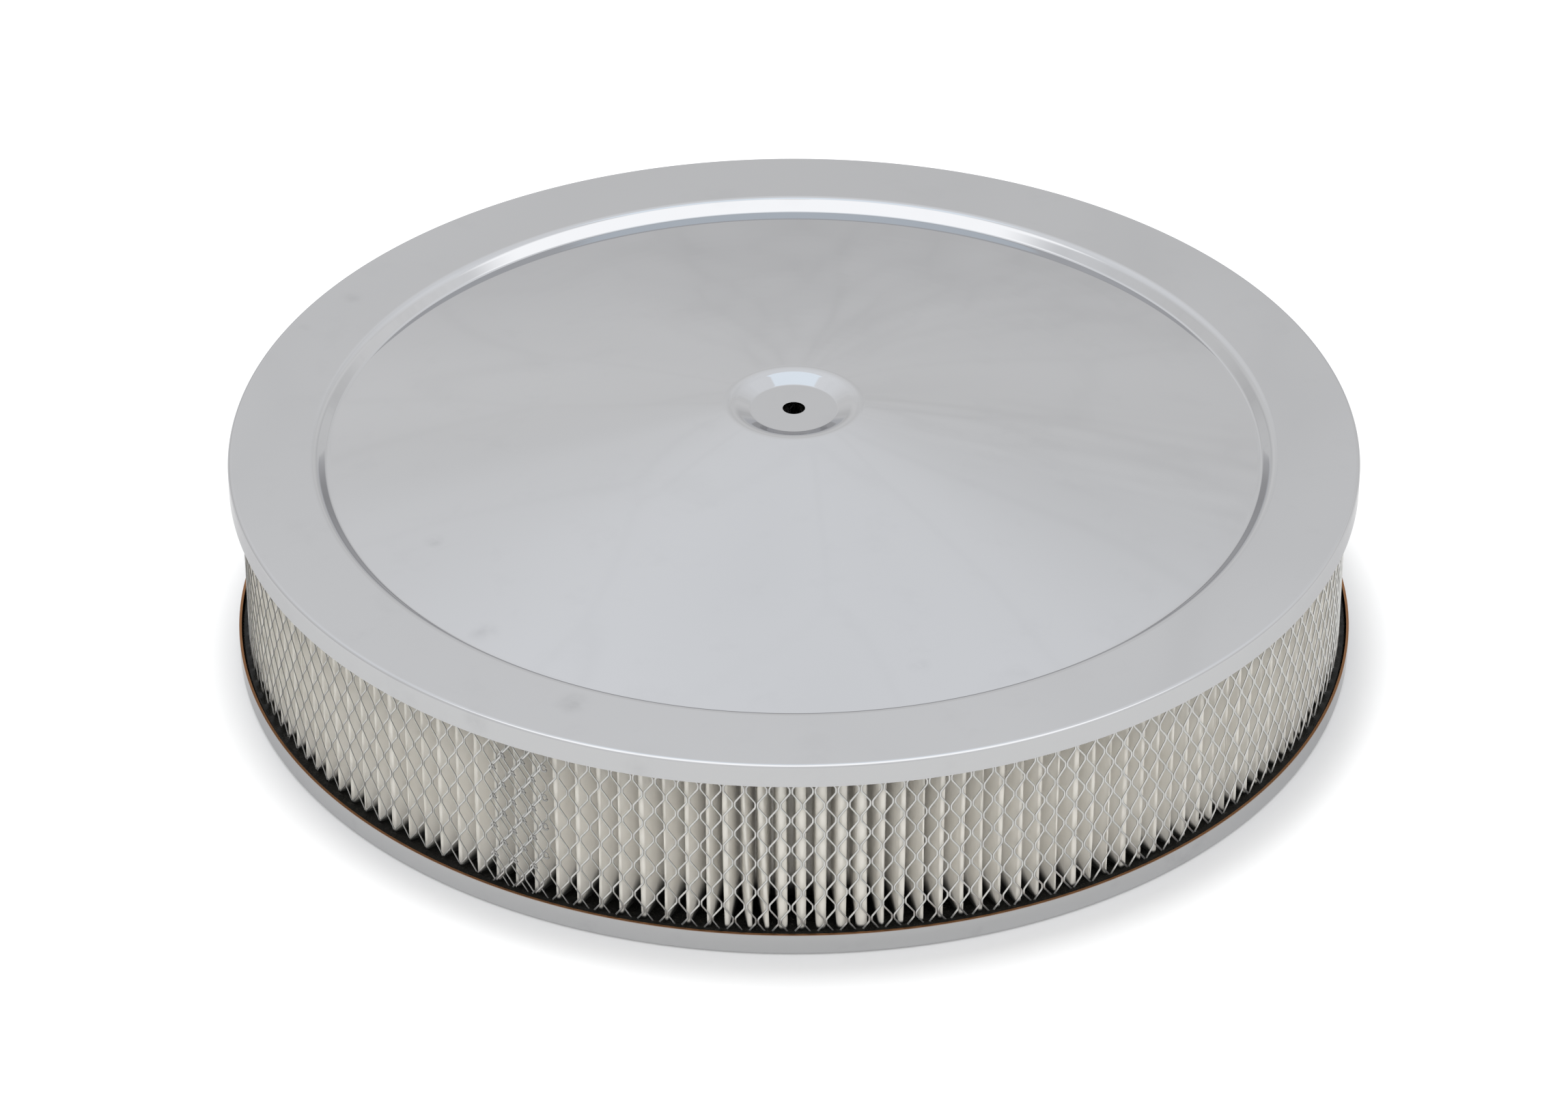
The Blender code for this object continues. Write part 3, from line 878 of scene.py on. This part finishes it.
# Lid: the same steel, pressed into a low crown with a dimple for the wing nut, a locating
# step and a short folded band, and chromed. It carries faint marks of handling.
lid_low, lid_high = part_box("lid")
LID_RADIUS = lid_high.x
LID_TOP = 69.2 * MM
LID_FOLD = 1.1 * MM
PANEL_EDGE_HEIGHT = 65.7 * MM
MOUTH_ROUNDING = 0.2 * MM
CROWN_TOP = lid_high.z + MOUTH_ROUNDING
EDGE_RUN = 1.6 * MM
DIMPLE_MOUTH_RADIUS = 20.0 * MM
DIMPLE_FLOOR_RADIUS = 13.8 * MM
DIMPLE_DEPTH = 2.4 * MM
DIMPLE_MOUTH_BEND = 9.0 * MM
DIMPLE_FLOOR_BEND = 1.5 * MM
STUD_HOLE_RADIUS = 3.55 * MM
MOUTH_SLOPE = math.tan(math.radians(6.3))
CROWN_POINTS = 26
LID_TURNS = 384
LID_HAZE = 0.10
MARKS_IN_MM = (
    (-144.4, 86.3, 69.2, 5.0, 0.30),
    (-158.7, 67.0, 69.2, 3.5, 0.22),
    (-110.5, -58.5, 69.2, 4.5, 0.45),
    (-93.0, -104.7, 65.7, 6.5, 0.38),
    (-65.0, -145.9, 69.2, 7.5, 0.38),
    (37.1, -125.1, 69.2, 5.0, 0.20),
    (66.6, -126.5, 65.7, 6.0, 0.22),
    (-93.5, -151.2, 66.0, 6.0, 0.35),
    (-116.0, -134.7, 65.0, 9.0, 0.18),
    (-45.0, -172.0, 65.5, 8.0, 0.16),
)


def crown_height(radius):
    """Crown of the lid: a parabola that leaves the dimple at MOUTH_SLOPE and ends at the step."""
    out = radius - DIMPLE_MOUTH_RADIUS
    span = STEP_INNER_RADIUS - DIMPLE_MOUTH_RADIUS
    steepening = CROWN_TOP - PANEL_EDGE_HEIGHT - MOUTH_SLOPE * span
    return CROWN_TOP - MOUTH_SLOPE * out - steepening * (out / span) ** 2


crown_radii = np.linspace(DIMPLE_MOUTH_RADIUS, STEP_INNER_RADIUS - EDGE_RUN, CROWN_POINTS)[1:]
lid_path = bent_path([
    (STUD_HOLE_RADIUS, CROWN_TOP - DIMPLE_DEPTH, 0.0),
    (DIMPLE_FLOOR_RADIUS, CROWN_TOP - DIMPLE_DEPTH, DIMPLE_FLOOR_BEND),
    (DIMPLE_MOUTH_RADIUS, CROWN_TOP, DIMPLE_MOUTH_BEND),
    *[(radius, crown_height(radius), 0.0) for radius in crown_radii],
    (STEP_INNER_RADIUS, PANEL_EDGE_HEIGHT, PANEL_BEND),
    (STEP_OUTER_RADIUS, LID_TOP, RING_BEND),
    (LID_RADIUS, LID_TOP, LID_FOLD),
    (LID_RADIUS, lid_low.z, 0.0),
])
lid_section = sheet_section(lid_path)
lid_chrome = chrome("lid_chrome_plate", LID_HAZE, MARKS_IN_MM)
lid = turned("pressed_lid", lid_section, LID_TURNS, lid_chrome)
paint(lid, "bare_edge", np.zeros(lid_section.shape[0] * LID_TURNS))
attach(lid, "root")
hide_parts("lid")

# Studio: a white floor that keeps the shadow, and a tent of creased white paper that lights the
# chrome, with two lamps overhead and a greyer gap at its foot, behind the object. Its light is
# given by direction (x right, y away, z up), and the lamps lie in the plane one unit up. A range
# of tones is (tone, tone, from, to), and a window is (from, to, softness).
STUDIO_RADIUS = 20.0
FLOOR_DROP = 0.1 * MM
TENT_ROWS = 48
TENT_COLUMNS = 96
TENT_REACH = 0.49 * math.pi
TENT_STEPS = (
    (0.0, 0.80), (8.0, 0.79), (12.0, 0.74), (15.0, 0.765), (20.0, 0.85), (25.0, 0.845), (30.0, 0.812),
    (33.0, 0.842), (35.5, 0.90), (43.0, 0.945), (50.0, 0.985), (64.0, 1.0), (90.0, 1.0),
)
TENT_LOW_COLOR = (1.0, 1.0, 1.01)
TENT_HIGH_COLOR = (0.985, 1.0, 1.035)
TENT_TINT_RISE = (0.5, 0.76)
SIDE_TONES = (
    (1.145, 0.885, -1.0, 1.0),
    (1.0, 1.20, 0.25, 0.8),
    (0.86, 1.0, -0.8, -0.25),
)
GAP_SIDES = (0.40, 0.58)
GAP_START = (0.02, 0.10)
GAP_TOP = (math.sin(math.radians(5.0)), math.sin(math.radians(10.5)))
GAP_COLOR = (0.65, 0.66, 0.69)
CREASE_BENDS = {"Scale": 3.0, "Detail": 2.0}
CREASE_WARP = 0.22
CREASE_COUNT = 7.0
CREASE_TONES = (0.965, 1.0, 0.0, 0.03)
FACET_TONES = (0.985, 1.02, 0.0, 0.6)
FOLD_COUNT = 62.0
FOLD_STRETCH = (0.4, 1.0, 1.0)
FOLD_TONES = (0.025, -0.025, 0.1, 0.8)
FOLD_EDGE_TONES = (-0.04, 0.0, 0.0, 0.07)
FOLDED_RIGHT_HEIGHTS = (0.47, 0.60, 0.02)
FOLDED_RIGHT_START = (0.02, 0.06)
FOLDED_BACK_HEIGHTS = (0.20, 0.36, 0.02)
FOLDED_BACK_SIDES = (-0.08, 0.30, 0.03)
NEAR_GLOW = 0.9
NEAR_GLOW_MIRRORED = 0.15
NEAR_GLOW_DEPTHS = (-0.6, -0.1)
NEAR_GLOW_TOP = (0.3, 0.6)
OFF_AXIS = (0.09, 0.16)
OFF_AXIS_TONES = ((1.02, 0.44, 0.54), (0.97, 0.57, 0.66), (0.95, 0.20, 0.38))
OFF_AXIS_MARGIN = 0.04
SOFT_BOX = ((1.55, 1.56, 1.59), (-0.85, 1.15, 0.14), (-1.0, 0.12, 0.14))
BRIGHT_STRIP = ((1.16, 1.26, 1.37), (-0.27, 0.25, 0.012), (0.15, 0.50, 0.012))
FLOOR_BOUNCE = (0.50, 0.50, 0.49, 1.0)
FLOOR_SEEN = (0.72, 0.72, 0.716)
FLOOR_MIRRORED = (0.387, 0.385, 0.38)
FLOOR_GLOW_SEEN = 0.06
FLOOR_GLOW_MIRRORED = 0.31
LEAST_DIVISOR = 0.01


def times(tree, *values):
    """Product of sockets and numbers."""
    product = values[0]
    for value in values[1:]:
        product = combined(tree, "MULTIPLY", product, value)
    return product


def window(tree, value, low, high, margin):
    """1 where a value lies between low and high, 0 outside, with soft ends."""
    entered = ranged(tree, value, 0.0, 1.0, low - margin, low + margin, smooth=True)
    left = ranged(tree, value, 1.0, 0.0, high - margin, high + margin, smooth=True)
    return times(tree, entered, left)


def far_gap(tree, sideways, ahead, height):
    """Mask of the gap at the tent's foot: full near its middle and near the floor."""
    spread = combined(tree, "DIVIDE", sideways, combined(tree, "MAXIMUM", ahead, LEAST_DIVISOR))
    wide = ranged(tree, spread, 1.0, 0.0, *GAP_SIDES, smooth=True)
    in_front = ranged(tree, ahead, 0.0, 1.0, *GAP_START)
    return times(tree, wide, in_front, ranged(tree, height, 1.0, 0.0, *GAP_TOP, smooth=True))


def cells(tree, place, count):
    """Distance to the middle of the nearest cell of a random net, and distance to its edge."""
    distances = []
    for feature in ("F1", "DISTANCE_TO_EDGE"):
        net = add_node(tree, "ShaderNodeTexVoronoi", {"feature": feature}, Scale=count)
        tree.links.new(place, net.inputs["Vector"])
        distances.append(net.outputs["Distance"])
    return distances


def creased(tree, direction, x, z):
    """Brightness of creased paper: broad facets all round, and small folds in two regions."""
    warp = add_node(tree, "ShaderNodeTexNoise", **CREASE_BENDS)
    tree.links.new(direction, warp.inputs["Vector"])
    bent = vector_math(tree, "MULTIPLY_ADD", warp.outputs["Color"], (CREASE_WARP,) * 3, direction)
    middle, edge = cells(tree, bent, CREASE_COUNT)
    facets = times(tree, ranged(tree, edge, *CREASE_TONES), ranged(tree, middle, *FACET_TONES))
    middle, edge = cells(tree, vector_math(tree, "MULTIPLY", bent, FOLD_STRETCH), FOLD_COUNT)
    edge_tone = ranged(tree, edge, *FOLD_EDGE_TONES)
    tone = combined(tree, "ADD", ranged(tree, middle, *FOLD_TONES), edge_tone)
    on_right = window(tree, z, *FOLDED_RIGHT_HEIGHTS)
    on_right = times(tree, on_right, ranged(tree, x, 0.0, 1.0, *FOLDED_RIGHT_START))
    at_back = times(tree, window(tree, z, *FOLDED_BACK_HEIGHTS), window(tree, x, *FOLDED_BACK_SIDES))
    folds = times(tree, tone, combined(tree, "ADD", on_right, at_back))
    return times(tree, facets, combined(tree, "ADD", folds, 1.0))


def near_glow(tree, y, z):
    """Extra light from the tent's side behind the camera. Chrome mirrors only little of it."""
    near = ranged(tree, y, 1.0, 0.0, *NEAR_GLOW_DEPTHS)
    near = times(tree, near, ranged(tree, z, 1.0, 0.0, *NEAR_GLOW_TOP))
    mirrored = add_node(tree, "ShaderNodeLightPath").outputs["Is Glossy Ray"]
    glow = times(tree, near, ranged(tree, mirrored, NEAR_GLOW, NEAR_GLOW_MIRRORED))
    return combined(tree, "ADD", glow, 1.0)


def empty_material(name):
    """A material that is empty but for its output. It isn't sampled as a lamp."""
    material = bpy.data.materials.new(name)
    material.use_nodes = True
    material.cycles.emission_sampling = "NONE"
    tree = material.node_tree
    tree.nodes.clear()
    return material, tree, add_node(tree, "ShaderNodeOutputMaterial").inputs["Surface"]


def joined(tree, kind, *sources):
    """Join shaders by an Add Shader or a Mix Shader node. A mix takes its factor first."""
    node = add_node(tree, kind)
    for socket, source in zip(node.inputs, sources):
        tree.links.new(source, socket)
    return node.outputs["Shader"]


def tent_paper():
    """Light of the tent by direction: a ramp by elevation, creases, a grey gap and two lamps."""
    material, tree, surface = empty_material("tent_paper")
    direction = vector_math(tree, "NORMALIZE", place_on(tree))
    parts = add_node(tree, "ShaderNodeSeparateXYZ")
    tree.links.new(direction, parts.inputs["Vector"])
    x, y, z = parts.outputs
    ramp = add_node(tree, "ShaderNodeValToRGB")
    tree.links.new(z, ramp.inputs["Fac"])
    elements = ramp.color_ramp.elements
    for index, (elevation, light) in enumerate(TENT_STEPS):
        height = math.sin(math.radians(elevation))
        element = elements[index] if index < 1 else elements.new(height)
        element.position = height
        element.color = (light, light, light, 1.0)
    high_up = ranged(tree, z, 0.0, 1.0, *TENT_TINT_RISE)
    tint = mix_colors(tree, high_up, TENT_LOW_COLOR, TENT_HIGH_COLOR)
    level = times(tree, creased(tree, direction, x, z), near_glow(tree, y, z))
    sideways = combined(tree, "ABSOLUTE", x, 0.0)
    off_axis = ranged(tree, sideways, 0.0, 1.0, *OFF_AXIS)
    for tone, low, high in OFF_AXIS_TONES:
        region = times(tree, off_axis, window(tree, z, low, high, OFF_AXIS_MARGIN))
        level = times(tree, level, ranged(tree, region, 1.0, tone))
    for tones_and_range in SIDE_TONES:
        level = times(tree, level, ranged(tree, x, *tones_and_range))
    paper = vector_math(tree, "MULTIPLY", ramp.outputs["Color"], tint)
    paper = vector_math(tree, "MULTIPLY", paper, level)
    lit = mix_colors(tree, far_gap(tree, sideways, y, z), paper, GAP_COLOR)
    rise = combined(tree, "MAXIMUM", z, LEAST_DIVISOR)
    across = combined(tree, "DIVIDE", x, rise)
    along = combined(tree, "DIVIDE", y, rise)
    for light, sides, depths in (SOFT_BOX, BRIGHT_STRIP):
        lamp = times(tree, window(tree, across, *sides), window(tree, along, *depths))
        lit = mix_colors(tree, lamp, lit, light)
    emission = add_node(tree, "ShaderNodeEmission", Strength=1.0)
    tree.links.new(lit, emission.inputs["Color"])
    tree.links.new(emission.outputs["Emission"], surface)
    return material


def floor_paper():
    """White sweep, white in the open and grey in shadow. It bounces less light than it shows,
    and is clear from below.
    """
    material, tree, surface = empty_material("floor_paper")
    path = add_node(tree, "ShaderNodeLightPath")
    direct = path.outputs["Is Camera Ray"]
    seen = combined(tree, "MAXIMUM", direct, path.outputs["Is Glossy Ray"])
    seen = combined(tree, "MAXIMUM", seen, path.outputs["Is Transmission Ray"])
    bounce = add_node(tree, "ShaderNodeBsdfDiffuse", Color=FLOOR_BOUNCE).outputs["BSDF"]
    shadowed = add_node(tree, "ShaderNodeBsdfDiffuse")
    tone = mix_colors(tree, direct, FLOOR_MIRRORED, FLOOR_SEEN)
    tree.links.new(tone, shadowed.inputs["Color"])
    glow = add_node(tree, "ShaderNodeEmission")
    strength = ranged(tree, direct, FLOOR_GLOW_MIRRORED, FLOOR_GLOW_SEEN)
    tree.links.new(strength, glow.inputs["Strength"])
    swept = joined(tree, "ShaderNodeAddShader", shadowed.outputs["BSDF"], glow.outputs["Emission"])
    by_ray = joined(tree, "ShaderNodeMixShader", seen, bounce, swept)
    below = add_node(tree, "ShaderNodeNewGeometry").outputs["Backfacing"]
    clear = add_node(tree, "ShaderNodeBsdfTransparent").outputs["BSDF"]
    tree.links.new(joined(tree, "ShaderNodeMixShader", below, by_ray, clear), surface)
    return material


def studio_floor():
    """Floor: one square just under the part, far wider than the picture."""
    sides = STUDIO_RADIUS * np.array(((-1.0, -1.0), (1.0, -1.0), (1.0, 1.0), (-1.0, 1.0)))
    corners = np.column_stack((sides, np.full(4, -FLOOR_DROP)))
    return skin("studio_floor", corners, np.arange(4)[None, :], floor_paper())


def studio_tent():
    """Tent: a sphere of points (R cos e sin a, -R cos e cos a, R sin e), seen from the inside."""
    elevation = np.linspace(-TENT_REACH, TENT_REACH, TENT_ROWS)[:, None]
    azimuth = np.linspace(0.0, math.tau, TENT_COLUMNS, endpoint=False)[None, :]
    grid = STUDIO_RADIUS * np.stack((
        np.cos(elevation) * np.sin(azimuth),
        -np.cos(elevation) * np.cos(azimuth),
        np.sin(elevation) + 0.0 * azimuth,
    ), axis=-1)
    faces = ring_faces(TENT_ROWS, TENT_COLUMNS, close_rows=False)[:, ::-1]
    return skin("studio_tent", grid, faces, tent_paper())


floor = studio_floor()
tent = studio_tent()
tent.visible_camera = False

world = bpy.data.worlds.new("white_studio")
bpy.context.scene.world = world
world.use_nodes = True
world.node_tree.nodes["Background"].inputs["Color"].default_value = (1.0, 1.0, 1.0, 1.0)

KEY_PLACE = (-0.1, 0.3, 2.4)
KEY_SIZE = 0.62
KEY_POWER = 34.0
key_data = bpy.data.lights.new("key_light", "AREA")
key_data.shape = "SQUARE"
key_data.size = KEY_SIZE
key_data.energy = KEY_POWER
key_light = bpy.data.objects.new("key_light", key_data)
bpy.context.scene.collection.objects.link(key_light)
key_light.visible_glossy = False

# Camera: it stands 1.9 m in front of the lid's ring and looks down at 32 degrees. Its lens and
# its aim are measured in pixels of the photo.
PHOTO_WIDTH = 2296.0
LENS = 9000.0
AIM_SIDE = -14.5
AIM_RISE = -162.5
SENSOR = 36.0
CAMERA_DISTANCE = 1.935
CAMERA_ELEVATION = math.radians(32.38)
CAMERA_ROLL = math.radians(-0.081)
CLIP_START = 0.05


def unit(vector):
    """The vector at length one."""
    return vector / np.linalg.norm(vector)


def turn_to(ahead, roll):
    """Axes of a camera or lamp that looks along ahead, turned by a roll about that line."""
    right = unit(np.cross(ahead, (0.0, 0.0, 1.0)))
    up = np.cross(right, ahead)
    rolled = math.cos(roll) * right + math.sin(roll) * up
    return np.stack((rolled, np.cross(-ahead, rolled), -ahead), axis=1)


def stand_at(item, place, axes):
    """Place an object by its point and its three axes."""
    matrix = np.eye(4)
    matrix[:3, :3] = axes
    matrix[:3, 3] = place
    item.matrix_world = Matrix(matrix.tolist())


stand_at(key_light, KEY_PLACE, turn_to(unit(-np.array(KEY_PLACE)), 0.0))
back = np.array((0.0, -math.cos(CAMERA_ELEVATION), math.sin(CAMERA_ELEVATION)))
side = np.array((1.0, 0.0, 0.0))
ahead = unit(-back + side * (AIM_SIDE / LENS) + np.cross(side, -back) * (AIM_RISE / LENS))
camera_data = bpy.data.cameras.new("product_camera")
camera_data.sensor_width = SENSOR
camera_data.lens = SENSOR * (LENS / PHOTO_WIDTH)
camera_data.clip_start = CLIP_START
camera_data.clip_end = 4 * STUDIO_RADIUS
camera = bpy.data.objects.new("product_camera", camera_data)
bpy.context.scene.collection.objects.link(camera)
stand_at(camera, np.array((0.0, 0.0, LID_TOP)) + back * CAMERA_DISTANCE, turn_to(ahead, CAMERA_ROLL))
bpy.context.scene.camera = camera
bpy.context.scene.view_settings.view_transform = "Standard"

bpy.context.view_layer.update()
